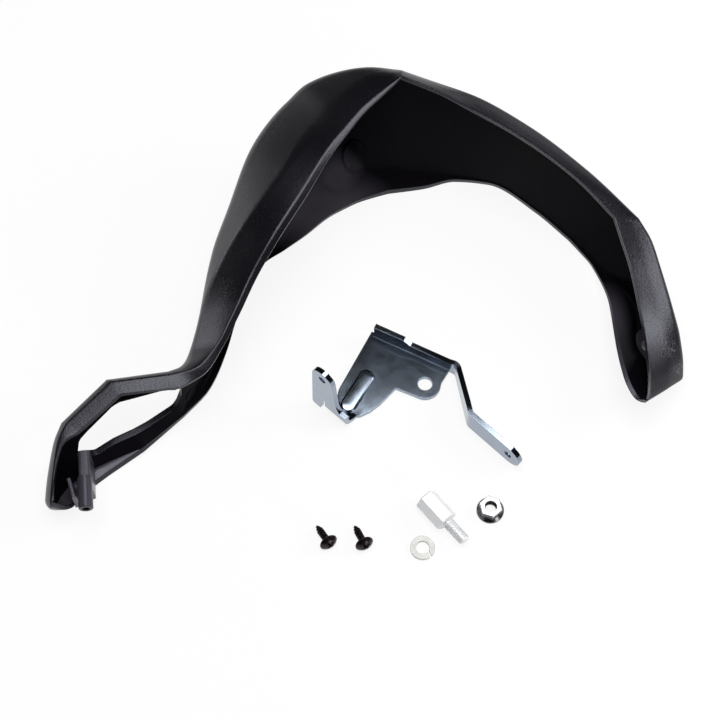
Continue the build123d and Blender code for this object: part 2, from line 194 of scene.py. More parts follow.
@dataclass(frozen=True)
class MouldedPlastic:
    """Black polypropylene as it leaves the mould, with a surface that differs from side to side, and patches of
    painted light where they are given.
    """

    name: str
    tone: str
    speck: str
    specular: float
    roughness: float
    # Depth of the grain, in mm
    grain_depth: float
    # Centre and reach of each scuff, and of each patch of painted light that lightens the plastic, in layout mm
    scuff_patches: tuple[Patch, ...] = ()
    painted_light_patches: tuple[Patch, ...] = ()
    scuff: str = "#6d6c70"
    # Tone of the patches of painted light
    pale: str = "#4a474f"
    sheen: str = "#eff0ff"
    ior: float = 1.5
    # Widths of the grain, the clouds and the flecks of a scuff, and rounding of the edges, in mm
    grain: float = 1.0
    cloud: float = 28.0
    fleck: float = 1.3
    edge_round: float = 0.6
    # Noise values between which specks, clouds and flecks come in
    speck_span: Span = (0.4, 0.68)
    cloud_span: Span = (0.3, 0.7)
    fleck_span: Span = (0.5, 0.64)
    # Change of roughness in a cloud, and its fall on the peaks for each mm of grain depth
    cloud_swing: float = 0.03
    peak_shine: float = 0.25
    # Share of a patch's reach that has its full strength, and that strength
    patch_core: float = 0.3
    patch_strength: float = 0.7

    def build(self) -> Material:
        """Build the plastic's material.

        Returns:
            The material.
        """
        material, tree = new_material(self.name)
        place = add_node(tree, "ShaderNodeTexCoord").outputs["Object"]
        # Spark grain, drawn a little coarser than the real one so that it shows
        grain = add_node(
            tree, "ShaderNodeTexNoise",
            {"Vector": place, "Scale": per_mm(self.grain), "Detail": 3.0, "Roughness": 0.6},
        ).outputs["Fac"]
        specks = add_node(
            tree, "ShaderNodeMapRange",
            {"Value": grain, "From Min": self.speck_span[0], "From Max": self.speck_span[1]},
        ).outputs["Result"]
        colour = add_node(
            tree, "ShaderNodeMix", {0: specks, 6: srgb(self.tone), 7: srgb(self.speck)}, data_type="RGBA"
        ).outputs[2]
        # Painted light: lighter patches where soft light falls on the floors
        if self.painted_light_patches:
            painted_light_mask = self.near(tree, place, self.painted_light_patches)
            colour = add_node(
                tree, "ShaderNodeMix", {0: painted_light_mask, 6: colour, 7: srgb(self.pale)}, data_type="RGBA"
            ).outputs[2]
        if self.scuff_patches:
            scuffed = self.scuffs(tree, place)
            colour = add_node(
                tree, "ShaderNodeMix", {0: scuffed, 6: colour, 7: srgb(self.scuff)}, data_type="RGBA"
            ).outputs[2]
        # Dull clouds left by handling, and a duller floor between the peaks of the grain
        cloud = add_node(
            tree, "ShaderNodeTexNoise", {"Vector": place, "Scale": per_mm(self.cloud), "Detail": 4.0}
        ).outputs["Fac"]
        dull = add_node(
            tree, "ShaderNodeMapRange",
            {"Value": cloud, "From Min": self.cloud_span[0], "From Max": self.cloud_span[1],
             "To Min": self.roughness - self.cloud_swing, "To Max": self.roughness + self.cloud_swing},
        ).outputs["Result"]
        rough = add_node(
            tree, "ShaderNodeMath", {0: specks, 1: -self.peak_shine * self.grain_depth, 2: dull},
            operation="MULTIPLY_ADD",
        ).outputs["Value"]
        end_material(
            tree, self.edge_round,
            {"Strength": 1.0, "Distance": self.grain_depth * MM, "Height": grain},
            {"Base Color": colour, "Roughness": rough, "IOR": self.ior,
             "Specular IOR Level": self.specular, "Specular Tint": srgb(self.sheen)},
        )
        return material

    def scuffs(self, tree: NodeTree, place: NodeSocket) -> NodeSocket:
        """Mask of the whitish scuffs on the blade and of the worn line across the elbow.

        Args:
            tree: Tree of the material.
            place: Object coordinates.

        Returns:
            Socket that is 0 on clean plastic.
        """
        noise = add_node(
            tree, "ShaderNodeTexNoise",
            {"Vector": place, "Scale": per_mm(self.fleck), "Detail": 5.0, "Roughness": 0.75},
        )
        flecks = add_node(
            tree, "ShaderNodeMapRange",
            {"Value": noise.outputs["Fac"], "From Min": self.fleck_span[0], "From Max": self.fleck_span[1]},
        ).outputs["Result"]
        patches = self.near(tree, place, self.scuff_patches)
        both = add_node(tree, "ShaderNodeMath", {0: patches, 1: flecks}, operation="MULTIPLY")
        return both.outputs["Value"]

    def near(self, tree: NodeTree, place: NodeSocket, patches: tuple[Patch, ...]) -> NodeSocket:
        """How near a place is to the middle of a patch.

        Args:
            tree: Tree of the material.
            place: Object coordinates.
            patches: Centre and reach of each patch, in layout mm.

        Returns:
            Socket that is 0 outside all patches and has their full strength in the middle of one.
        """
        masks = []
        for centre, reach in patches:
            offset = add_node(
                tree, "ShaderNodeVectorMath", {0: place, 1: layout(*centre)}, operation="SUBTRACT"
            )
            shares = add_node(
                tree, "ShaderNodeVectorMath", {0: offset.outputs["Vector"], 1: Vector(reach) * MM},
                operation="DIVIDE",
            )
            away = add_node(tree, "ShaderNodeVectorMath", {0: shares.outputs["Vector"]}, operation="LENGTH")
            patch = add_node(
                tree, "ShaderNodeMapRange",
                {"Value": away.outputs["Value"], "From Min": 1.0, "From Max": self.patch_core,
                 "To Min": 0.0, "To Max": self.patch_strength},
            )
            masks.append(patch.outputs["Result"])
        total = masks[0]
        for mask in masks[1:]:
            larger = add_node(tree, "ShaderNodeMath", {0: total, 1: mask}, operation="MAXIMUM")
            total = larger.outputs["Value"]
        return total


# Spark-eroded mould face: black and grainy, with pale scuffs on the blade and the elbow
GRAINED_PLASTIC = MouldedPlastic(
    "grained_polypropylene", "#0a080c", "#151318", specular=0.5, roughness=0.3, grain_depth=0.09,
    scuff_patches=(
        ((151.5, -4.5, 23.0), (6.5, 6.5, 6.5)),
        ((155.5, -12.0, 16.5), (5.0, 5.0, 5.0)),
        ((131.5, 54.2, 45.4), (7.5, 0.4, 6.0)),
    ),
)
# Textured core of the mould: dull black, hardly reflecting, with painted light on the horn's and blade's floors
DULL_PLASTIC = MouldedPlastic(
    "dull_polypropylene", "#0a080c", "#0e0c10", specular=0.02, roughness=0.34, grain_depth=0.02,
    painted_light_patches=(
        ((-22.0, 84.0, 4.0), (46.0, 26.0, 24.0)),
        ((-12.0, 100.0, 10.0), (16.0, 16.0, 20.0)),
        ((124.0, 12.0, 20.0), (14.0, 34.0, 20.0)),
    ),
)
# Smooth faces of the mould: a soft gloss, and a dark grey tone that is painted sheen on black plastic
SATIN_PAINTED_SHEEN_PLASTIC = MouldedPlastic(
    "satin_polypropylene_painted_sheen", "#38353c", "#3f3c44", specular=0.4, roughness=0.3, grain_depth=0.02
)


@dataclass(frozen=True)
class Plating:
    """Plated steel: a metal with a faint haze, fine grit and, where asked for, a painted highlight on its top
    face.
    """

    name: str
    tone: str
    shade: str
    metallic: float
    roughness: float
    # Tone of the painted highlight on the faces above a height, and that height and its blend in mm
    painted_light: str = ""
    painted_light_above: float = 0.0
    painted_light_blend: float = 0.2
    # Widths of the haze and the grit, depth of the grit and rounding of the edges, in mm
    haze: float = 6.0
    grit: float = 0.35
    grit_depth: float = 0.03
    edge_round: float = 0.25
    # Noise values between which the haze comes in, and its least and greatest share of the roughness
    haze_span: Span = (0.3, 0.7)
    haze_rough: Span = (0.85, 1.2)
    grit_strength: float = 0.12

    def build(self) -> Material:
        """Build the plating's material.

        Returns:
            The material.
        """
        material, tree = new_material(self.name)
        place = add_node(tree, "ShaderNodeTexCoord").outputs["Object"]
        haze = add_node(
            tree, "ShaderNodeTexNoise",
            {"Vector": place, "Scale": per_mm(self.haze), "Detail": 5.0, "Roughness": 0.6},
        ).outputs["Fac"]
        colour = add_node(
            tree, "ShaderNodeMix", {0: haze, 6: srgb(self.tone), 7: srgb(self.shade)}, data_type="RGBA"
        ).outputs[2]
        # Painted highlight: the top faces are lighter
        if self.painted_light:
            colour = self.painted_light_face(tree, place, colour)
        rough = add_node(
            tree, "ShaderNodeMapRange",
            {"Value": haze, "From Min": self.haze_span[0], "From Max": self.haze_span[1],
             "To Min": self.roughness * self.haze_rough[0], "To Max": self.roughness * self.haze_rough[1]},
        )
        # Grit of the plating, drawn coarser than the real one so that it shows
        grit = add_node(
            tree, "ShaderNodeTexNoise", {"Vector": place, "Scale": per_mm(self.grit), "Detail": 2.0}
        )
        end_material(
            tree, self.edge_round,
            {"Strength": self.grit_strength, "Distance": self.grit_depth * MM, "Height": grit.outputs["Fac"]},
            {"Base Color": colour, "Metallic": self.metallic, "Roughness": rough.outputs["Result"]},
        )
        return material

    def painted_light_face(self, tree: NodeTree, place: NodeSocket, colour: NodeSocket) -> NodeSocket:
        """Paint a highlight on the faces above a height.

        Args:
            tree: Tree of the material.
            place: Object coordinates.
            colour: Colour below that height.

        Returns:
            Colour with the painted highlight.
        """
        height = add_node(tree, "ShaderNodeSeparateXYZ", {"Vector": place}).outputs["Z"]
        top = self.painted_light_above + self.painted_light_blend
        above = add_node(
            tree, "ShaderNodeMapRange",
            {"Value": height, "From Min": self.painted_light_above * MM, "From Max": top * MM},
        ).outputs["Result"]
        return add_node(
            tree, "ShaderNodeMix", {0: above, 6: colour, 7: srgb(self.painted_light)}, data_type="RGBA"
        ).outputs[2]


# Chromated sheet steel: a smooth blue-grey gloss that mirrors the pale table and the dark room
PLATED_SHEET = Plating("dark_chromate_sheet", "#97a1af", "#8691a0", metallic=1.0, roughness=0.1)
# Black zinc on the screws: near-black metal with small bright highlights
BLACK_PLATING = Plating("black_zinc_plating", "#3a3133", "#2a2426", metallic=0.9, roughness=0.28)
# Bright zinc on the standoff: soft and almost white
BRIGHT_ZINC = Plating("bright_zinc_plating", "#f2f3f4", "#e4e6e8", metallic=0.25, roughness=0.42)
# Springy washer steel under thin zinc: a shade greyer than the standoff
WASHER_ZINC = Plating("zinc_spring_steel", "#c9cac6", "#b9bab6", metallic=0.25, roughness=0.42)
# Dark zinc on the nut: grey metal whose top face carries a painted highlight
NUT_ZINC = Plating(
    "dark_zinc_nut", "#7a7778", "#5b5859", metallic=1.0, roughness=0.25, painted_light="#bdc0c6", painted_light_above=5.3
)


def shade(mesh: Mesh, shading: Shading) -> None:
    """Shade a mesh smooth between the edges that stay sharp."""
    mesh.shade_smooth()
    mesh.set_sharp_from_angle(angle=shading.value)


def merged_copy(node: Object, name: str, shading: Shading) -> Object:
    """Copy a solid's mesh, join its loose triangles and shade it smooth between its edges.

    Args:
        node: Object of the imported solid.
        name: Name of the copy.
        shading: Angle past which an edge stays sharp.

    Returns:
        The new object, linked to the scene.
    """
    mesh = node.data.copy()
    mesh.name = name
    sheet = bmesh.new()
    sheet.from_mesh(mesh)
    bmesh.ops.remove_doubles(sheet, verts=sheet.verts, dist=WELD * MM)
    bmesh.ops.dissolve_degenerate(sheet, edges=sheet.edges, dist=SLIVER * MM)
    sheet.to_mesh(mesh)
    sheet.free()
    if mesh.has_custom_normals:
        mesh.attributes.remove(mesh.attributes["custom_normal"])
    shade(mesh, shading)
    piece = bpy.data.objects.new(name, mesh)
    bpy.context.scene.collection.objects.link(piece)
    return piece


def dress(piece: Object, slot: str, *materials: Material) -> None:
    """Give a piece its materials and its body.

    Args:
        piece: Finished piece.
        slot: Material slot of the record; not used.
        *materials: Its materials, in the order of the faces' indices.
    """
    marks = [face.material_index for face in piece.data.polygons]
    piece.data.materials.clear()
    for material in materials:
        piece.data.materials.append(material)
    for face, mark in zip(piece.data.polygons, marks):
        face.material_index = min(mark, len(materials) - 1)
    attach(piece, BODY)
    LOG.info("%s: %d faces", piece.name, len(piece.data.polygons))


def lathe(profile: list[Span], steps: int) -> BMesh:
    """Turn a profile round the z axis.

    Args:
        profile: Radius and height of each point in millimetres, from axis to axis.
        steps: Number of sides.

    Returns:
        A closed mesh in millimetres.
    """
    mesh = bmesh.new()
    turns = [2 * math.pi * i / steps for i in range(steps)]
    rings: list[list[BMVert]] = []
    for radius, height in profile:
        sides = turns if radius else turns[:1]
        rings.append([mesh.verts.new((radius * math.cos(t), radius * math.sin(t), height)) for t in sides])
    for low, high in zip(rings, rings[1:]):
        for i in range(steps):
            j = (i + 1) % steps
            corners = [low[i % len(low)], low[j % len(low)], high[j % len(high)], high[i % len(high)]]
            unique = list(dict.fromkeys(corners))
            if len(unique) > 2:
                mesh.faces.new(unique)
    bmesh.ops.recalc_face_normals(mesh, faces=mesh.faces)
    return mesh


def place_mesh(mesh: BMesh, name: str, place: Matrix) -> Object:
    """Turn a mesh in millimetres into an object whose place is in its mesh.

    Args:
        mesh: Mesh in its own frame, in millimetres. It is freed.
        name: Name of the object.
        place: Matrix from that frame to the row frame.

    Returns:
        The new object, linked to the scene.
    """
    data = bpy.data.meshes.new(name)
    bmesh.ops.transform(mesh, matrix=place @ Matrix.Scale(MM, 4), verts=mesh.verts)
    mesh.to_mesh(data)
    mesh.free()
    piece = bpy.data.objects.new(name, data)
    bpy.context.scene.collection.objects.link(piece)
    return piece


def axes_matrix(origin: Vector, along: Vector, across: Vector | None = None) -> Matrix:
    """Matrix whose z axis runs along a direction.

    Args:
        origin: Origin of the axes.
        along: Direction of the z axis.
        across: Direction of the x axis. It is level where none is given.

    Returns:
        The placing matrix.
    """
    if across is None:
        across = Vector((0.0, 0.0, 1.0)).cross(along)
    z_axis = along.normalized()
    x_axis = across.normalized()
    turn = Matrix((x_axis, z_axis.cross(x_axis), z_axis)).transposed().to_4x4()
    return Matrix.Translation(origin) @ turn


def thread_tree() -> NodeTree:
    """Build the node tree of a screw thread: a three-sided rib swept along a spiral.

    Returns:
        The tree, with the spiral's sizes as named inputs.
    """
    tree = bpy.data.node_groups.new("screw_thread", "GeometryNodeTree")
    sockets = {"Turns": 8.0, "Start Radius": 0.001, "End Radius": 0.001, "Height": 0.01, "Rib": 0.0004}
    for name, value in sockets.items():
        socket = tree.interface.new_socket(name, in_out="INPUT", socket_type="NodeSocketFloat")
        socket.default_value = value
    tree.interface.new_socket("Material", in_out="INPUT", socket_type="NodeSocketMaterial")
    tree.interface.new_socket("Geometry", in_out="OUTPUT", socket_type="NodeSocketGeometry")
    given = add_node(tree, "NodeGroupInput").outputs
    spiral = add_node(
        tree, "GeometryNodeCurveSpiral",
        {"Resolution": THREAD_STEPS, "Rotations": given["Turns"], "Start Radius": given["Start Radius"],
         "End Radius": given["End Radius"], "Height": given["Height"]},
    )
    upright = add_node(tree, "GeometryNodeSetCurveNormal", {"Curve": spiral.outputs["Curve"]}, mode="Z_UP")
    rib = add_node(
        tree, "GeometryNodeCurvePrimitiveCircle", {"Resolution": RIB_SIDES, "Radius": given["Rib"]}
    )
    swept = add_node(
        tree, "GeometryNodeCurveToMesh",
        {"Curve": upright.outputs["Curve"], "Profile Curve": rib.outputs["Curve"], "Fill Caps": True},
    )
    solid = add_node(tree, "GeometryNodeRealizeInstances", {"Geometry": swept.outputs["Mesh"]})
    painted = add_node(
        tree, "GeometryNodeSetMaterial",
        {"Geometry": solid.outputs["Geometry"], "Material": given["Material"]},
    )
    add_node(tree, "NodeGroupOutput", {"Geometry": painted.outputs["Geometry"]})
    return tree


@dataclass(frozen=True)
class Thread:
    """Sizes of one run of thread, in millimetres along the screw's own axis."""

    start: float
    length: float
    pitch: float
    start_radius: float
    end_radius: float
    rib: float

    # Metric thread: its pitch and rib, its plain lead and how much shorter it is than its rod or bore
    METRIC_PITCH: ClassVar[float] = 1.0
    METRIC_RIB: ClassVar[float] = 0.3
    METRIC_LEAD: ClassVar[float] = 0.5
    METRIC_LOSS: ClassVar[float] = 1.2

    @classmethod
    def metric(cls, start: float, length: float, radius: float) -> Thread:
        """Metric thread on a rod or in a bore that starts at a height, about the given radius."""
        run = length - cls.METRIC_LOSS
        return cls(start + cls.METRIC_LEAD, run, cls.METRIC_PITCH, radius, radius, cls.METRIC_RIB)

    def build(self, tree: NodeTree, material: Material) -> BMesh:
        """Build the run of thread with the node tree.

        Args:
            tree: Tree from thread_tree.
            material: Material that the tree sets.

        Returns:
            The thread as a plain mesh in millimetres.
        """
        holder = bpy.data.objects.new("thread_holder", bpy.data.meshes.new("thread_holder"))
        bpy.context.scene.collection.objects.link(holder)
        modifier = holder.modifiers.new("thread", "NODES")
        modifier.node_group = tree
        values = {
            "Turns": self.length / self.pitch, "Start Radius": self.start_radius * MM,
            "End Radius": self.end_radius * MM, "Height": self.length * MM, "Rib": self.rib * MM,
            "Material": material,
        }
        for item in tree.interface.items_tree:
            if item.in_out == "INPUT":
                modifier[item.identifier] = values[item.name]
        bpy.context.view_layer.update()
        ready = holder.evaluated_get(bpy.context.evaluated_depsgraph_get())
        data = bpy.data.meshes.new_from_object(ready)
        holder.modifiers.remove(modifier)
        mesh = bmesh.new()
        mesh.from_mesh(data)
        bmesh.ops.scale(mesh, vec=(1 / MM, 1 / MM, 1 / MM), verts=mesh.verts)
        bmesh.ops.translate(mesh, vec=(0, 0, self.start), verts=mesh.verts)
        bmesh.ops.recalc_face_normals(mesh, faces=mesh.faces)
        bpy.data.objects.remove(holder)
        bpy.data.meshes.remove(data)
        return mesh


def joined(*parts: BMesh) -> BMesh:
    """Put several meshes into one.

    Args:
        *parts: Meshes in one frame. They are freed.

    Returns:
        One mesh with all their faces.
    """
    whole = bmesh.new()
    for part in parts:
        data = bpy.data.meshes.new("part")
        part.to_mesh(data)
        part.free()
        whole.from_mesh(data)
        bpy.data.meshes.remove(data)
    return whole


def combined(first: BMesh, second: BMesh, how: Combine) -> BMesh:
    """Cut one closed mesh out of another, or join the two.

    Args:
        first: Mesh in millimetres. It is freed.
        second: Mesh in the same frame. It is freed.
        how: What is done with the second mesh.

    Returns:
        The result as a new mesh.
    """
    pair = [place_mesh(mesh, "combined", Matrix.Scale(1 / MM, 4)) for mesh in (first, second)]
    modifier = pair[0].modifiers.new("combine", "BOOLEAN")
    modifier.operation = how.value
    modifier.solver = "EXACT"
    modifier.object = pair[1]
    bpy.context.view_layer.update()
    data = bpy.data.meshes.new_from_object(pair[0].evaluated_get(bpy.context.evaluated_depsgraph_get()))
    pair[0].modifiers.remove(modifier)
    whole = bmesh.new()
    whole.from_mesh(data)
    bpy.data.meshes.remove(data)
    for piece in pair:
        bpy.data.meshes.remove(piece.data)
    return whole


def eased(knots: list[float], values: list[float], place: float) -> float:
    """Smooth curve through values that never swings past them.

    Args:
        knots: Rising places of the values.
        values: Value at each place.
        place: Place that is asked for.

    Returns:
        Value of the curve there.
    """
    steps = [b - a for a, b in zip(knots, knots[1:])]
    slopes = [(b - a) / step for a, b, step in zip(values, values[1:], steps)]
    tangents = [slopes[0]]
    for before, after, first, second in zip(slopes, slopes[1:], steps, steps[1:]):
        if before * after <= 0:
            tangents.append(0.0)
        else:
            low, high = 2 * second + first, second + 2 * first
            tangents.append((low + high) / (low / before + high / after))
    tangents.append(slopes[-1])
    i = max(k for k in range(len(steps)) if k == 0 or knots[k] <= place)
    t = (place - knots[i]) / steps[i]
    rise = values[i] * (2 * t ** 3 - 3 * t ** 2 + 1) + values[i + 1] * (3 * t ** 2 - 2 * t ** 3)
    return rise + steps[i] * (tangents[i] * (t ** 3 - 2 * t ** 2 + t) + tangents[i + 1] * (t ** 3 - t ** 2))


def meeting(first: tuple[Vector, Vector], second: tuple[Vector, Vector]) -> Vector:
    """Point where two straight runs meet, or the end of the first when they are in line.

    Args:
        first: Two points of one run.
        second: Two points of the other run.

    Returns:
        The meeting point.
    """
    run, other = first[1] - first[0], second[1] - second[0]
    turn = run.cross(other)
    if abs(turn) < IN_LINE * run.length * other.length:
        return first[1]
    return first[0] + run * ((second[0] - first[0]).cross(other) / turn)


def rounded(
    points: list[Vector], rounds: list[float], steps: tuple[int, ...], splits: tuple[int, ...]
) -> list[Vector]:
    """Run through points with its inner corners rounded.

    Args:
        points: Corners from end to end.
        rounds: Rounding at each inner corner.
        steps: Number of pieces of each rounding.
        splits: Number of pieces of each straight run.

    Returns:
        Points of the rounded run.
    """
    path = [points[0]]
    corners = zip(points, points[1:], points[2:], rounds, steps, splits)
    for before, corner, after, size, count, pieces in corners:
        back, ahead = before - corner, after - corner
        reach = min(size, ROUND_SHARE * back.length, ROUND_SHARE * ahead.length)
        entry = corner + back.normalized() * reach
        leave = corner + ahead.normalized() * reach
        path += [path[-1].lerp(entry, i / pieces) for i in range(1, pieces)]
        for i in range(count + 1):
            t = i / count
            path.append(entry * (1 - t) ** 2 + corner * 2 * t * (1 - t) + leave * t ** 2)
    start = path[-1]
    return [*path, *(start.lerp(points[-1], i / splits[-1]) for i in range(1, splits[-1] + 1))]


def outward(start: Vector, end: Vector) -> Vector:
    """Unit vector that points out of a section from the run between two of its corners."""
    run = (end - start).normalized()
    return Vector((-run.y, run.x))


def drawn_in(points: list[Vector], middle: Vector, distance: float) -> list[Vector]:
    """Points moved towards the middle of their ring, at most all the way."""
    ways = [middle - point for point in points]
    return [point + way.normalized() * min(distance, way.length) for point, way in zip(points, ways)]


def disc(radius: float, low: float, high: float, chamfer: float) -> list[Span]:
    """Profile of a round disc between two heights, with a chamfer at its upper edge."""
    return [(0, low), (radius, low), (radius, high - chamfer), (radius - chamfer, high), (0, high)]


def turned(profile: list[Span], place: Matrix, steps: int, side: Side = Side.GRAINED) -> BMesh:
    """Turned detail of the guard.

    Args:
        profile: Radius and height of each point, from axis to axis.
        place: Matrix of its axis in the layout, in millimetres.
        steps: Number of sides.
        side: Finish of its faces.

    Returns:
        A closed mesh in layout millimetres.
    """
    mesh = lathe(profile, steps)
    bmesh.ops.transform(mesh, matrix=place, verts=mesh.verts)
    for face in mesh.faces:
        face.material_index = side
    return mesh


def strip(rings: list[list[Vector]], marks: list[list[Side]]) -> BMesh:
    """Closed tube through rings of points, with flat ends.

    Args:
        rings: Rings with the same number of points.
        marks: Finish of each run of each ring.

    Returns:
        A closed mesh.
    """
    mesh = bmesh.new()
    rows = [[mesh.verts.new(point) for point in ring] for ring in rings]
    count = len(rows[0])
    for low, high, sides in zip(rows, rows[1:], marks):
        for i in range(count):
            j = (i + 1) % count
            mesh.faces.new((low[i], low[j], high[j], high[i])).material_index = sides[i]
    mesh.faces.new(rows[0][::-1]).material_index = marks[0][0]
    mesh.faces.new(rows[-1]).material_index = marks[-1][0]
    bmesh.ops.remove_doubles(mesh, verts=mesh.verts, dist=SLIVER)
    bmesh.ops.dissolve_degenerate(mesh, edges=mesh.edges, dist=SLIVER)
    bmesh.ops.recalc_face_normals(mesh, faces=mesh.faces)
    return mesh


def prism(outline: list[Span], radius: float, place: Matrix, run: Span, side: Side = Side.GRAINED) -> BMesh:
    """Prism over an outline with rounded corners.

    Args:
        outline: Corners of the closed outline.
        radius: Rounding of the corners.
        place: Matrix from the outline's plane to the layout, in millimetres.
        run: Start and end along the plane's z axis.
        side: Finish of its faces.

    Returns:
        A closed mesh in layout millimetres.
    """
    corners = [Vector((x, y, 0)) for x, y in outline]
    seam = (corners[-1] + corners[0]) / 2
    count = len(corners)
    path = rounded([seam, *corners, seam], [radius] * count, (CORNER_STEPS,) * count, (1,) * (count + 1))[:-1]
    rings = [[place @ (point + Vector((0, 0, z))) for point in path] for z in run]
    return strip(rings, [[side] * len(path)] * len(rings))


@dataclass(frozen=True)
class Rib:
    """Upright rib of the guard, in layout millimetres."""

    # End and direction of its axis
    end: Point
    axis: Point
    half_width: float
    # Heights of its edges over the axis, its run along the axis and the rounding of its edges
    heights: Span
    run: Span
    edge_round: float

    def build(self) -> BMesh:
        """Build the rib.

        Returns:
            A closed mesh in layout millimetres.
        """
        low, high = self.heights
        half = self.half_width
        place = axes_matrix(Vector(self.end), Vector(self.axis))
        outline = [(-half, low), (half, low), (half, high), (-half, high)]
        # Ribs take the satin grey, whose tone is painted sheen
        return prism(outline, self.edge_round, place, self.run, Side.SATIN_PAINTED_SHEEN)


@dataclass(frozen=True)
class GateMark:
    """Round mark where the plastic entered the mould, in layout millimetres."""

    centre: Point
    axis: Point
    radius: float
    height: float
    # Stretch up the wall, depth of the hidden root and chamfer of the rim
    stretch: float = 1.0
    root: float = 1.5
    chamfer: float = 0.2

    def build(self) -> BMesh:
        """Build the mark.

        Returns:
            A closed mesh in layout millimetres.
        """
        place = axes_matrix(Vector(self.centre), Vector(self.axis))
        place = place @ Matrix.Diagonal((1.0, self.stretch, 1.0, 1.0))
        profile = disc(self.radius, -self.root, self.height, self.chamfer)
        return turned(profile, place, steps=40, side=Side.DULL)


@dataclass(frozen=True)
class Section:
    """One cross-section of the channel, in layout millimetres."""

    # Lip of the land, outer edge of the roof, and lower lip of the wall
    lip: Point
    edge: Point
    low: Point
    # Heel of the wall: share of the wall's height, sag and rounding
    heel: Point = (0.96, 3, 6)
    # Land along the lip: width and tilt in degrees, and rounding of the outer edge
    rim: Point = (0.5, 25, 5)
    # Crease on the roof: share of the roof's width, lift and rounding
    crease: Point = (0.5, 0.4, 2)

    def values(self) -> list[float]:
        """All sizes of the section in one list."""
        return [*self.lip, *self.edge, *self.low, *self.heel, *self.rim, *self.crease]

    @classmethod
    def of(cls, sizes: list[float]) -> Section:
        """Section with the sizes of such a list."""
        return cls(*(tuple(sizes[i:i + 3]) for i in range(0, len(sizes), 3)))


@dataclass(frozen=True)
class Ring:
    """Points of one section of the channel."""

    # From the rim of the land to the lower lip, and back to that rim
    outside: list[Vector]
    inside: list[Vector]
    # As many points as the inside has, on the straight line across the mouth
    mouth: list[Vector]


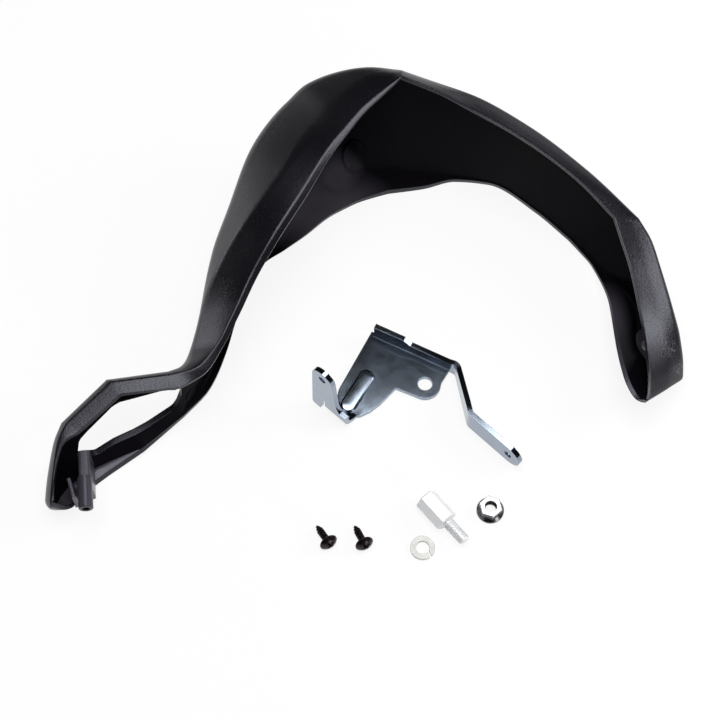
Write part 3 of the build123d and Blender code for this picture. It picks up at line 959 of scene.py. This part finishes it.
@dataclass
class Guard:
    """The one-piece moulding: a channel bent from the bar end over the crest to the loop at the clamp."""

    # Wall in general, at the lip and at the lower lip
    wall: float = 2.8
    lip_wall: float = 1.3
    low_wall: float = 2.2
    lip_round: float = 0.8
    # Rounding of the lip's inside, and the least of the other corners inside
    inner_lip_round: float = 0.4
    inner_round: float = 1.0
    # Greatest distance between two sections of the shell
    step: float = 2.5
    # Rounding and wall of the closed ends, at the bar-end tip and at the cup
    tip_round: float = 1.2
    cup_round: float = 4.0
    tip_wall: float = 1.7
    cup_wall: float = 2.8
    # Length of the blade, from its tip, whose lower rim has a painted sheen
    painted_sheen_length: float = 75.0
    # Runs of a section's inside between the lower lip and the middle of the heel
    sill_runs: int = 6

    # Screw boss: end and direction of its axis, its size and its blind pilot hole
    boss_end: Point = (-128.4, -87.2, 22)
    boss_axis: Point = (0.097, -0.995, 0)
    boss_radius: float = 3.5
    boss_length: float = 16.0
    pilot_radius: float = 1.75
    pilot_depth: float = 14.0
    drill_point: float = 0.6
    # Round pad of the bar end: centre and direction of its axis, its size and its hole
    pad_centre: Point = (143.8, 3, 10)
    pad_axis: Point = (-0.7, 0, 0.714)
    pad_radius: float = 10.0
    pad_height: float = 3.0
    pad_root: float = 1.5
    bar_end_radius: float = 3.1
    bar_end_run: Span = (-8, 6)
    # Chamfer of the boss, the pilot hole and the pad
    chamfer: float = 0.4
    web: Rib = Rib(boss_end, boss_axis, 2.75, (-19, 2), (-29, -12), 1.5)
    stay: Rib = Rib((-135.3, -79.6, 18), (0.311, -0.951, 0), 1.0, (-14, 0), (-10, 0), 0.5)
    gates: tuple[GateMark, ...] = (
        GateMark((-2.6, 107, 20.5), (0.09, -0.91, 0.39), radius=6.2, height=1.5, stretch=1.6),
        GateMark((-82.6, -24.4, 12.6), (0.816, -0.555, 0.165), radius=3.8, height=0.4),
    )
    # Window of the loop: direction, outline across it, rounding and run of its cutter
    window_axis: Point = (0.3, -0.954, 0)
    window_outline: tuple[Span, ...] = (
        (-90.5, 19), (-96, 13.5), (-109.4, 12), (-128, 11.6), (-138, 10.2), (-146.8, 14),
        (-143.5, 20.5), (-138.5, 22.5), (-124, 27), (-98, 28), (-90, 25),
    )
    window_round: float = 1.6
    window_run: Span = (-22, 16)

    # Pieces of each rounding and of each straight run of a section, from the land to the lower lip
    OUTER_ROUNDS: ClassVar[tuple[int, ...]] = (3, 6, 8, 8)
    INNER_ROUNDS: ClassVar[tuple[int, ...]] = (2, 6, 8, 8)
    RUNS: ClassVar[tuple[int, ...]] = (1, 2, 2, 6, 2)
    # Places of the extra sections at a rounded end, as shares of the cup's rounding
    END_SHARES: ClassVar[tuple[float, ...]] = (0.04, 0.1, 0.18, 0.3, 0.5, 0.74, 1.0, 1.3)

    # Sections at the folds, shared by the lengths on both sides
    ELBOW: ClassVar[Section] = Section((125, 55, 47), (138.3, 56.4, 44), (107, 67.3, 2))
    CREST: ClassVar[Section] = Section(
        (20, 113, 84), (20, 121.5, 76.5), (14.5, 95.5, 0.5), (0.86, 9, 12), (1, 25, 5), (0.5, 1, 4)
    )
    STRAND: ClassVar[Section] = Section(
        (-89, -26.5, 41), (-91.5, -23.1, 37.4), (-86, -33, 5), (0.96, 3, 6), (7.5, 27, 2.5), (0.5, 0.3, 1)
    )
    CORNER: ClassVar[Section] = Section(
        (-118, -29.5, 39), (-121, -26.6, 35.4), (-105, -50.5, 3), (0.96, 2, 5), (7.5, 42, 2.5), (0.5, 0.3, 1)
    )
    BEND: ClassVar[Section] = Section(
        (-139, -48.5, 33), (-142, -46.6, 29.4), (-122, -62.5, 1), (0.85, 5, 6), (7, 42, 2.5), (0.5, 0.3, 1)
    )

    # Lengths of the channel from fold to fold
    blade: tuple[Section, ...] = (
        Section((136.6, -34.3, 25), (160.4, -13.6, 9), (135.2, -34.4, 25), (0.3, 4, 6), (0.6, 25, 5)),
        Section((138.4, -32.8, 25.1), (160.6, -13, 9.5), (132.4, -32.3, 24.8), (0.32, 5.5, 6), (0.6, 25, 5)),
        Section((139.7, -28.8, 25.6), (160.8, -11.6, 10.6), (130, -28.4, 24.6), (0.36, 8, 6), (0.6, 25, 5)),
        Section((140.1, -21.7, 27.6), (160.8, -8.2, 13.2), (127.4, -20.4, 24.1), (0.43, 11, 6), (0.6, 25, 5)),
        Section((139, -4, 31), (159.2, 3, 20), (125, 0, 21), (0.6, 20, 6)),
        Section((136, 12, 35), (155, 15, 28), (124.2, 24, 14), (0.75, 14, 6)),
        Section((132, 31, 41), (148.7, 34.7, 36), (118.2, 49.8, 5), (0.95, 4, 6)),
        Section((128.5, 43, 44), (144.8, 46, 40.3), (112.8, 58.8, 3.5), (0.96, 3.5, 6)),
        ELBOW,
    )
    arm: tuple[Section, ...] = (
        ELBOW,
        Section((107.5, 72, 54), (113.4, 79.5, 51), (91, 84, 1), rim=(0.5, 25, 4)),
        Section((77.5, 93, 62), (82.4, 102.8, 58), (67, 101, 0.5), rim=(0.5, 25, 4)),
        Section((52.5, 105, 69), (57.3, 114.6, 65), (49, 102.8, 0.5), (0.96, 4, 6), (0.6, 25, 4)),
        Section((39, 110, 75), (42, 118.4, 68.5), (33.5, 98.5, 0.5),
                (0.9, 7.5, 10), (0.9, 25, 4), (0.5, 0.5, 2)),
        CREST,
    )
    horn: tuple[Section, ...] = (
        CREST,
        Section((11, 106, 81.5), (1, 127.6, 73), (6.5, 93, 0.5),
                (0.86, 9, 12), (1.6, 25, 7), (0.4, 1.6, 10)),
        Section((1, 97.5, 79), (-15.5, 129.4, 65.5), (-1, 90.2, 0.5),
                (0.85, 9, 12), (2.2, 25, 8), (0.32, 2.4, 14)),
        Section((-6.3, 89.5, 76.2), (-28, 127.8, 59.6), (-8, 86.4, 0.5),
                (0.85, 9, 12), (2.7, 25, 9), (0.29, 2.8, 12)),
        Section((-13.9, 81, 73), (-38.6, 121.6, 52), (-15.5, 81.8, 0.5),
                (0.85, 8.5, 12), (3.3, 25, 9), (0.26, 3.2, 9)),
        Section((-27.8, 58.7, 67), (-57.3, 95.6, 47), (-28, 70.6, 0.5),
                (0.86, 8, 10), (3.4, 25, 9), (0.28, 4.6, 2.5)),
        Section((-41.4, 37.7, 61), (-66.7, 66.4, 42), (-38.5, 62, 1),
                (0.93, 7, 6), (3.4, 25, 8), (0.42, 4.5, 2)),
        Section((-51.6, 20.8, 54), (-74.6, 39.9, 37), (-50, 52, 3),
                (0.93, 6, 6), (3.4, 25, 7), (0.57, 4, 2)),
        Section((-61, 1.2, 48), (-78.2, 10, 33), (-61, 24, 5),
                (0.93, 5, 6), (3.6, 25, 6), (0.82, 2.4, 2)),
        Section((-68.6, -13.2, 44), (-82.7, -10.2, 31), (-66.5, 1, 6),
                (0.93, 6, 6), (4, 25, 5), (0.8, 1.5, 2)),
        Section((-78.5, -24, 42), (-86, -19.9, 36), (-74, -19, 6),
                (0.93, 6, 6), (5.5, 25, 4), (0.6, 0.8, 2)),
        STRAND,
    )
    strand: tuple[Section, ...] = (STRAND, CORNER)
    bend: tuple[Section, ...] = (CORNER, BEND)
    cup: tuple[Section, ...] = (
        BEND,
        Section((-142.5, -57, 31), (-145.6, -54.9, 25.4), (-129.5, -69, 1), (0.8, 6, 6), (2.2, 32, 3)),
        Section((-144.5, -75, 27), (-148.4, -73.4, 20.4), (-134.5, -75.5, 4), (0.7, 9, 6), (0.8, 25, 3)),
        Section((-145.5, -86.5, 22), (-149.5, -84.5, 15), (-137, -85, 14), (0.45, 10, 6), (0.8, 25, 3)),
    )

    def build(self, node: Object) -> Object:
        """Build the guard in place of its solid.

        Args:
            node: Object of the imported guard.

        Returns:
            The dressed piece.
        """
        shell = self.shell()
        shell = combined(shell, self.window(), Combine.CUT)
        shell = combined(shell, self.details(), Combine.JOIN)
        shell = combined(shell, self.holes(), Combine.CUT)
        self.keep_inside(shell, node)
        piece = place_mesh(shell, "guard_shell", Matrix.Translation(layout(0, 0, -GUARD_DROP)))
        shade(piece.data, Shading.MOULDED)
        dress(piece, "guard_plastic", GRAINED_PLASTIC.build(), DULL_PLASTIC.build(), SATIN_PAINTED_SHEEN_PLASTIC.build())
        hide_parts("guard")
        return piece

    def ring(self, section: Section) -> Ring:
        """Points of one section of the channel.

        Args:
            section: The section.

        Returns:
            Its ring of points, in layout millimetres.
        """
        lip = Vector(section.lip)
        reach = Vector(section.edge) - lip
        mouth = Vector(section.low) - lip
        chord = mouth.normalized()
        depth = (reach - chord * reach.dot(chord)).normalized()
        lip_corner = Vector((0.0, 0.0))
        tilt = math.radians(section.rim[1])
        rim = Vector((math.sin(tilt), -math.cos(tilt))) * section.rim[0]
        edge = Vector((reach.dot(chord), reach.dot(depth)))
        low = Vector((mouth.length, 0.0))
        crease = edge * section.crease[0] + outward(lip_corner, edge) * section.crease[1]
        heel = edge.lerp(low, section.heel[0]) + outward(edge, low) * section.heel[1]
        corners = [rim, lip_corner, crease, edge, heel, low]
        walls = (self.lip_wall, self.lip_wall, self.wall, self.wall, self.wall, self.low_wall)
        runs = []
        for start, end, first, last in zip(corners, corners[1:], walls, walls[1:]):
            inward = -outward(start, end)
            runs.append((start + inward * first, end + inward * last))
        hollow = [meeting(runs[0], (rim, low))]
        hollow += [meeting(first, second) for first, second in zip(runs, runs[1:])]
        hollow.append(meeting(runs[-1], (rim, low)))
        rounds = [self.lip_round, section.crease[2], section.rim[2], section.heel[2]]
        outside = rounded(corners, rounds, self.OUTER_ROUNDS, self.RUNS)
        soft = [self.inner_lip_round] + [max(self.inner_round, size - self.wall) for size in rounds[1:]]
        inside = rounded(hollow, soft, self.INNER_ROUNDS, self.RUNS)[::-1]
        across = [low.lerp(rim, (i + 1) / (len(inside) + 1)) for i in range(len(inside))]
        return Ring(*([lip + chord * p.x + depth * p.y for p in path] for path in (outside, inside, across)))

    def stations(self, length: tuple[Section, ...]) -> list[Section]:
        """Closely spaced sections along one length of the channel.

        Args:
            length: Its given sections.

        Returns:
            Sections on a smooth run through the given ones.
        """
        knots = [0.0]
        for first, second in zip(length, length[1:]):
            pairs = zip((first.lip, first.edge, first.low), (second.lip, second.edge, second.low))
            knots.append(knots[-1] + sum((Vector(b) - Vector(a)).length for a, b in pairs) / 3)
        count = math.ceil(knots[-1] / self.step)
        places = [knots[-1] * i / count for i in range(count + 1)]
        ends = [self.cup_round * share for share in self.END_SHARES]
        if length is self.blade:
            places += ends
        elif length is self.cup:
            places += [knots[-1] - end for end in ends]
        columns = [list(column) for column in zip(*(section.values() for section in length))]
        return [Section.of([eased(knots, column, place) for column in columns]) for place in sorted(places)]

    def shell(self) -> BMesh:
        """The channel with its rounded, closed ends.

        Returns:
            A closed mesh in layout millimetres, with a finish on each face.
        """
        sections: list[Section] = []
        painted_sheen_rows: list[bool] = []
        for length in (self.blade, self.arm, self.horn, self.strand, self.bend, self.cup):
            more = self.stations(length)[1 if sections else 0:]
            sections += more
            # The lower walls of the bend and the cup carry painted sheen
            painted_sheen_rows += [length in (self.bend, self.cup)] * len(more)
        rings = [self.ring(section) for section in sections]
        middles = [sum(ring.outside, Vector()) / len(ring.outside) for ring in rings]
        gone = [0.0]
        for first, second in zip(middles, middles[1:]):
            gone.append(gone[-1] + (second - first).length)
        outer, inner = len(rings[0].outside), len(rings[0].inside)
        plain = [Side.GRAINED] * outer + [Side.DULL] * (inner - 1) + [Side.GRAINED]
        # At the clamp end the lower wall takes the satin grey, a painted sheen
        painted_sheen_sill = plain[:outer] + [Side.SATIN_PAINTED_SHEEN] * self.sill_runs + plain[outer + self.sill_runs:]
        # Painted sheen: the rim of the blade's lower wall takes the satin grey
        sheen = plain[:outer - 1] + [Side.SATIN_PAINTED_SHEEN] + plain[outer:]
        rows, marks = [], []
        for ring, middle, place, painted_light in zip(rings, middles, gone, painted_sheen_rows):
            at_tip = place < gone[-1] / 2
            away = place if at_tip else gone[-1] - place
            end_wall = self.tip_wall if at_tip else self.cup_wall
            inset = self.inset(away, self.tip_round if at_tip else self.cup_round)
            outside = drawn_in(ring.outside, middle, inset)
            if away < end_wall:
                rows.append(outside + drawn_in(ring.mouth, middle, inset))
                marks.append([Side.GRAINED] * (outer + inner))
                continue
            heart = sum(ring.inside, Vector()) / inner
            dip = 0.0 if at_tip else self.inset(away - end_wall, self.cup_round)
            rows.append(outside + drawn_in(ring.inside, heart, dip))
            if painted_light:
                marks.append(painted_sheen_sill)
            else:
                marks.append(sheen if place < self.painted_sheen_length else plain)
        return strip(rows, marks)

    @staticmethod
    def inset(away: float, radius: float) -> float:
        """How far a rounded end is drawn in at a distance from its tip."""
        return radius - math.sqrt(radius ** 2 - max(0.0, radius - away) ** 2)

    def window(self) -> BMesh:
        """Cutter of the window through the wall of the loop."""
        place = axes_matrix(Vector(), Vector(self.window_axis))
        return prism(list(self.window_outline), self.window_round, place, self.window_run)

    def boss_place(self) -> Matrix:
        """Place of the screw boss, with its open end at the origin."""
        return axes_matrix(Vector(self.boss_end), Vector(self.boss_axis))

    def pad_place(self) -> Matrix:
        """Place of the round pad in the bar end."""
        return axes_matrix(Vector(self.pad_centre), Vector(self.pad_axis))

    def details(self) -> BMesh:
        """Screw boss on its web, stay, pad of the bar end and gate marks.

        Returns:
            Closed meshes in one, in layout millimetres.
        """
        # The boss, its web and the pad take the satin grey, whose tone is painted sheen
        rod = disc(self.boss_radius, -self.boss_length, 0, self.chamfer)
        boss = turned(rod, self.boss_place(), steps=40, side=Side.SATIN_PAINTED_SHEEN)
        boss = combined(self.web.build(), boss, Combine.JOIN)
        button = disc(self.pad_radius, -self.pad_root, self.pad_height, self.chamfer)
        pad = turned(button, self.pad_place(), steps=48, side=Side.SATIN_PAINTED_SHEEN)
        return joined(boss, self.stay.build(), pad, *(gate.build() for gate in self.gates))

    def holes(self) -> BMesh:
        """Cutters of the boss's pilot hole and of the bar-end hole.

        Returns:
            Closed meshes in one, in layout millimetres.
        """
        radius, mouth = self.pilot_radius, self.pilot_radius + self.chamfer
        drill = [(0, -self.pilot_depth), (radius, self.drill_point - self.pilot_depth)]
        drill += [(radius, -self.chamfer), (mouth, 0), (mouth, CUT_PAST), (0, CUT_PAST)]
        low, high = self.bar_end_run
        bore = [(0, low), (self.bar_end_radius, low), (self.bar_end_radius, high), (0, high)]
        pilot = turned(drill, self.boss_place(), steps=32)
        return joined(pilot, turned(bore, self.pad_place(), steps=36))

    @staticmethod
    def keep_inside(shell: BMesh, node: Object) -> None:
        """Keep every point in the box of the solid.

        Args:
            shell: Mesh in layout millimetres.
            node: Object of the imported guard.
        """
        back = -layout(0, 0, -GUARD_DROP)
        spots = [(vert.co + back) / MM for vert in node.data.vertices]
        for axis in range(3):
            low, high = min(spot[axis] for spot in spots), max(spot[axis] for spot in spots)
            for vert in shell.verts:
                vert.co[axis] = min(max(vert.co[axis], low), high)


@dataclass
class Bracket:
    """Folded and plated sheet."""

    def build(self, node: Object) -> Object:
        """Build the bracket from its solid.

        Args:
            node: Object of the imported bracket.

        Returns:
            The dressed piece.
        """
        piece = merged_copy(node, "bracket_sheet", Shading.MACHINED)
        dress(piece, "plated_sheet", PLATED_SHEET.build())
        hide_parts("bracket")
        return piece


@dataclass
class TappingScrews:
    """Two truss-head screws with a cross recess and a coarse thread."""

    diameter: float = 4.0
    core: float = 2.7
    length: float = 12.0
    point: float = 4.0
    head: float = 9.0
    head_height: float = 2.7
    pitch: float = 1.45
    # Height of the crown's edge over the underside of the head, and pieces of the crown
    crown_edge: float = 0.55
    crown_steps: int = 9
    # Start of the ground point, then height and share of the core's radius a little further up
    point_start: float = 0.1
    point_height: float = 1.6
    point_share: float = 0.45
    # Height and width of the fillet under the head, then width and height of the head's lower edge
    neck: Span = (0.5, 0.4)
    head_edge: Span = (0.15, 0.2)
    # Cross recess: length and width of a blade at its top and its floor, depth, rise of its top and turn
    recess_top: Span = (4.9, 1.15)
    recess_floor: Span = (2.6, 0.8)
    recess_depth: float = 1.9
    recess_rise: float = 0.4
    recess_turn: float = 0.5
    # Thread: share of its depth that the rib takes, start and radius on the point, plain length at the head
    rib_share: float = 0.62
    taper_start: float = 0.9
    taper_radius: float = 0.35
    plain_end: float = 0.6
    # Layout place of the point, and heading from the point to the head in degrees
    places: tuple[Point, ...] = ((-21.1, -87.5, -58.7), (-2.9, -87.5, -65.4))

    def build(self, tree: NodeTree) -> list[Object]:
        """Build both screws.

        Args:
            tree: Node tree of the thread.

        Returns:
            The dressed pieces.
        """
        material = BLACK_PLATING.build()
        pieces = []
        for number, (x, y, heading) in enumerate(self.places, start=1):
            place = self.place(x, y, math.radians(heading))
            body = combined(self.body(), self.recess(), Combine.CUT)
            pieces.append(place_mesh(body, f"tapping_screw_{number}", place))
            pieces.append(place_mesh(self.threads(tree, material), f"screw_thread_{number}", place))
        for piece in pieces:
            shade(piece.data, Shading.MOULDED)
            dress(piece, "black_screw", material)
            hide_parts("tapping_screws")
        return pieces

    def place(self, x: float, y: float, heading: float) -> Matrix:
        """Matrix of a screw that leans on its shank and the rim of its head.

        Args:
            x: Layout place of the point.
            y: Layout place of the point.
            heading: Direction from the point to the head, seen from above.

        Returns:
            The placing matrix.
        """
        lean = math.atan2((self.head - self.diameter) / 2, self.length - self.point)
        flat = math.cos(lean)
        along = Vector((flat * math.cos(heading), flat * math.sin(heading), math.sin(lean)))
        height = self.diameter / 2 * flat - self.point * math.sin(lean)
        return axes_matrix(layout(x, y, height), along)

    def body(self) -> BMesh:
        """Core, shoulder and truss head as one turned mesh.

        Returns:
            A closed mesh in millimetres, with its point at the origin.
        """
        core, rim = self.core / 2, self.head / 2
        neck_height, neck_width = self.neck
        edge_width, edge_height = self.head_edge
        profile = [(0, self.point_start), (core * self.point_share, self.point_height), (core, self.point)]
        profile += [(core, self.length - neck_height), (core + neck_width, self.length)]
        profile += [(rim - edge_width, self.length), (rim, self.length + edge_height)]
        crown = self.length + self.head_height
        drop = self.head_height - self.crown_edge
        radius = (rim * rim + drop * drop) / (2 * drop)
        for i in range(self.crown_steps):
            across = rim * (1 - i / self.crown_steps)
            profile.append((across, crown - radius + math.sqrt(radius * radius - across * across)))
        return lathe([*profile, (0, crown)], steps=56)

    def recess(self) -> BMesh:
        """Cutter of the cross recess: two tapered blades joined into one.

        Returns:
            A closed mesh in millimetres, in the head of the screw.
        """
        crown = self.length + self.head_height
        blades = []
        for turn in (self.recess_turn, self.recess_turn + math.pi / 2):
            blade = bmesh.new()
            bmesh.ops.create_cube(blade, size=1.0)
            for vert in blade.verts:
                top = vert.co.z > 0
                length, width = self.recess_top if top else self.recess_floor
                height = crown + self.recess_rise if top else crown - self.recess_depth
                vert.co = (vert.co.x * length, vert.co.y * width, height)
            bmesh.ops.rotate(blade, matrix=Matrix.Rotation(turn, 3, "Z"), verts=blade.verts)
            blades.append(blade)
        return combined(blades[0], blades[1], Combine.JOIN)

    def threads(self, tree: NodeTree, material: Material) -> BMesh:
        """Thread of the shank and of the point.

        Args:
            tree: Node tree of the thread.
            material: Plating of the screw.

        Returns:
            Both runs as one mesh.
        """
        rib = (self.diameter - self.core) / 2 * self.rib_share
        full = self.diameter / 2 - rib
        shank = Thread(self.point, self.length - self.point - self.plain_end, self.pitch, full, full, rib)
        run = self.point - self.taper_start
        taper = Thread(self.taper_start, run, self.pitch, self.taper_radius, full, rib)
        return joined(shank.build(tree, material), taper.build(tree, material))


@dataclass
class Standoff:
    """Hexagon with a threaded stud at one end and a tapped hole at the other."""

    flats: float = 10.0
    length: float = 16.0
    stud: float = 6.0
    stud_length: float = 12.7
    hole: float = 5.0
    hole_depth: float = 11.0
    drill_point: float = 1.2
    countersink: float = 0.5
    # Depth of the stud's thread, its hidden root in the hexagon, and radius and length of its end chamfer
    thread_depth: float = 0.45
    root: float = 1.0
    stud_chamfer: Span = (0.5, 0.6)
    # Length of the hexagon's chamfer, and share of its radius that is left there
    chamfer: float = 0.45
    end_share: float = 0.93
    start: Span = (31.2, -75.4)
    heading: Span = (0.652, -0.758)

    def build(self, tree: NodeTree) -> list[Object]:
        """Build the hexagon, its stud and the stud's thread.

        Args:
            tree: Node tree of the thread.

        Returns:
            The dressed pieces.
        """
        material = BRIGHT_ZINC.build()
        place = axes_matrix(
            layout(*self.start, self.flats / 2), Vector((*self.heading, 0)), across=Vector((0, 0, 1))
        )
        drilled = combined(self.block(), self.bore(), Combine.CUT)
        core, end = self.stud / 2 - self.thread_depth, self.length + self.stud_length
        foot = self.length - self.root
        narrow, taper = self.stud_chamfer
        shaft = [(0, foot), (core, foot), (core, end - taper), (core - narrow, end), (0, end)]
        run = Thread.metric(self.length, self.stud_length, self.stud / 2 - Thread.METRIC_RIB)
        pieces = [
            place_mesh(drilled, "standoff_block", place),
            place_mesh(lathe(shaft, steps=40), "standoff_stud", place),
            place_mesh(run.build(tree, material), "standoff_thread", place),
        ]
        for piece in pieces:
            shade(piece.data, Shading.MACHINED)
            dress(piece, "bright_zinc", material)
            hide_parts("standoff")
        return pieces

    def bore(self) -> BMesh:
        """Cutter of the tapped hole with its countersink.

        Returns:
            A closed mesh in millimetres, along the z axis.
        """
        radius, mouth = self.hole / 2, self.hole / 2 + self.countersink
        profile = [(0, -CUT_PAST), (mouth, -CUT_PAST), (mouth, 0), (radius, self.countersink)]
        profile += [(radius, self.hole_depth), (0, self.hole_depth + self.drill_point)]
        return lathe(profile, steps=40)

    def block(self) -> BMesh:
        """Hexagon with chamfered corners at both ends, resting on a flat.

        Returns:
            A closed mesh in millimetres, along the z axis.
        """
        corner = self.flats / math.sqrt(3)
        narrow = corner * self.end_share
        profile = [(0, 0), (narrow, 0), (corner, self.chamfer), (corner, self.length - self.chamfer)]
        mesh = lathe([*profile, (narrow, self.length), (0, self.length)], steps=6)
        bmesh.ops.rotate(mesh, matrix=Matrix.Rotation(math.pi / 6, 3, "Z"), verts=mesh.verts)
        return mesh


@dataclass
class LooseRings:
    """Split washer and flange nut."""

    nut_place: Span = (62.6, -80.0)
    nut_bore: float = 6.0
    nut_height: float = 6.0

    def build(self, nodes: dict[str, Object], tree: NodeTree) -> list[Object]:
        """Build the washer, the nut and the nut's thread.

        Args:
            nodes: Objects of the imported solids.
            tree: Node tree of the thread.

        Returns:
            The dressed pieces.
        """
        washer = merged_copy(nodes["washer"], "split_washer", Shading.MACHINED)
        dress(washer, "bright_zinc", WASHER_ZINC.build())
        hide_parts("washer")
        plating = NUT_ZINC.build()
        nut = merged_copy(nodes["nut"], "flange_nut", Shading.MACHINED)
        run = Thread.metric(0.0, self.nut_height, self.nut_bore / 2).build(tree, plating)
        thread = place_mesh(run, "nut_thread", Matrix.Translation(layout(*self.nut_place)))
        for piece in (nut, thread):
            dress(piece, "dark_zinc", plating)
            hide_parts("nut")
        return [washer, nut, thread]


@dataclass(frozen=True)
class Lamp:
    name: str
    azimuth: float
    elevation: float
    # Distance and diameter in metres, and power in watts
    distance: float
    size: float
    power: float

    def build(self) -> None:
        """Add the lamp to the scene."""
        data = bpy.data.lights.new(self.name, "AREA")
        data.shape = "DISK"
        data.size = self.size
        data.energy = self.power
        lamp = bpy.data.objects.new(self.name, data)
        turn, rise = math.radians(self.azimuth), math.radians(self.elevation)
        way = Vector((math.cos(rise) * math.cos(turn), math.cos(rise) * math.sin(turn), math.sin(rise)))
        lamp.location = way * self.distance
        lamp.rotation_euler = (-way).to_track_quat("-Z", "Y").to_euler()
        bpy.context.scene.collection.objects.link(lamp)


@dataclass
class Studio:
    """Pale table, soft lamps and a camera that matches the photograph."""

    table_size: float = 6.0
    table_gap: float = 0.0002
    table_tone: str = "#f6f6f6"
    # Share of plain white in what the camera and reflections see of the table
    table_glow: float = 0.86
    # Strength of the room's light, and of its reflection at the horizon and overhead
    room_light: float = 0.15
    room_mirrored: Span = (0.04, 0.01)
    # Camera round the middle of the layout: degrees over the table, metres, and mm of lens and sensor
    camera_elevation: float = 65.0
    camera_distance: float = 0.9
    camera_lens: float = 90.0
    camera_sensor: float = 36.0
    camera_reach: float = 20.0
    lamps: tuple[Lamp, ...] = (
        Lamp("lamp_overhead", 0.0, 90.0, 1.3, 1.0, 14.0),
        Lamp("lamp_right", 8.0, 32.0, 1.25, 0.55, 5.0),
        Lamp("lamp_back", 52.0, 17.0, 1.25, 0.55, 0.8),
        Lamp("lamp_left", 152.0, 10.0, 1.25, 0.34, 1.2),
        Lamp("lamp_front", -46.0, 12.0, 1.25, 0.4, 2.2),
    )

    def build(self) -> None:
        """Build the table, the world, the lamps and the camera."""
        self.table()
        self.world()
        for lamp in self.lamps:
            lamp.build()
        self.camera()

    def table(self) -> None:
        """White table that reads as white to the camera and in reflections, and keeps a soft shadow."""
        material, tree = new_material("white_table")
        path = add_node(tree, "ShaderNodeLightPath").outputs
        seen = add_node(
            tree, "ShaderNodeMath", {0: path["Is Camera Ray"], 1: path["Is Glossy Ray"]}, operation="MAXIMUM"
        ).outputs["Value"]
        share = add_node(tree, "ShaderNodeMath", {0: seen, 1: self.table_glow}, operation="MULTIPLY")
        matt = add_node(tree, "ShaderNodeBsdfDiffuse", {"Color": srgb(self.table_tone)})
        glow = add_node(tree, "ShaderNodeEmission", {"Color": (1, 1, 1, 1), "Strength": 1.0})
        mixed = add_node(
            tree, "ShaderNodeMixShader",
            {0: share.outputs["Value"], 1: matt.outputs["BSDF"], 2: glow.outputs["Emission"]},
        )
        add_node(tree, "ShaderNodeOutputMaterial", {"Surface": mixed.outputs["Shader"]})
        mesh = bmesh.new()
        bmesh.ops.create_grid(mesh, x_segments=1, y_segments=1, size=self.table_size / 2 / MM)
        top = place_mesh(mesh, "table_top", Matrix.Translation((0, 0, -self.table_gap)))
        top.data.materials.append(material)

    def world(self) -> None:
        """White to the camera, almost black in reflections, and a weak even light otherwise."""
        world = bpy.data.worlds.new("studio")
        bpy.context.scene.world = world
        world.use_nodes = True
        tree = world.node_tree
        tree.nodes.clear()
        path = add_node(tree, "ShaderNodeLightPath").outputs
        way = add_node(tree, "ShaderNodeTexCoord").outputs["Generated"]
        height = add_node(tree, "ShaderNodeSeparateXYZ", {"Vector": way}).outputs["Z"]
        horizon, overhead = self.room_mirrored
        mirrored = add_node(
            tree, "ShaderNodeMapRange",
            {"Value": height, "From Min": 0.0, "From Max": 0.5, "To Min": horizon, "To Max": overhead},
        ).outputs["Result"]
        unseen = add_node(
            tree, "ShaderNodeMix", {0: path["Is Glossy Ray"], 2: self.room_light, 3: mirrored},
            data_type="FLOAT",
        ).outputs[0]
        level = add_node(
            tree, "ShaderNodeMix", {0: path["Is Camera Ray"], 2: unseen, 3: 1.0}, data_type="FLOAT"
        ).outputs[0]
        sky = add_node(tree, "ShaderNodeBackground", {"Color": (1, 1, 1, 1), "Strength": level})
        add_node(tree, "ShaderNodeOutputWorld", {"Surface": sky.outputs["Background"]})

    def camera(self) -> None:
        """Add the camera that matches the photograph."""
        data = bpy.data.cameras.new("photo_camera")
        data.lens = self.camera_lens
        data.sensor_width = self.camera_sensor
        data.clip_end = self.camera_reach
        camera = bpy.data.objects.new("photo_camera", data)
        rise = math.radians(self.camera_elevation)
        away = Vector((0, -math.cos(rise), math.sin(rise))) * self.camera_distance
        camera.location = layout(0, 0) + away
        camera.rotation_euler = (math.pi / 2 - rise, 0, 0)
        bpy.context.scene.collection.objects.link(camera)
        bpy.context.scene.camera = camera


def main() -> None:
    logging.basicConfig(level=logging.INFO, format="%(name)s %(message)s")
    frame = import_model()
    bpy.context.scene.view_settings.view_transform = "Standard"
    nodes = frame["nodes"]
    tree = thread_tree()
    Guard().build(nodes["guard"])
    Bracket().build(nodes["bracket"])
    TappingScrews().build(tree)
    Standoff().build(tree)
    LooseRings().build(nodes, tree)
    Studio().build()


if __name__ == "__main__":
    main()
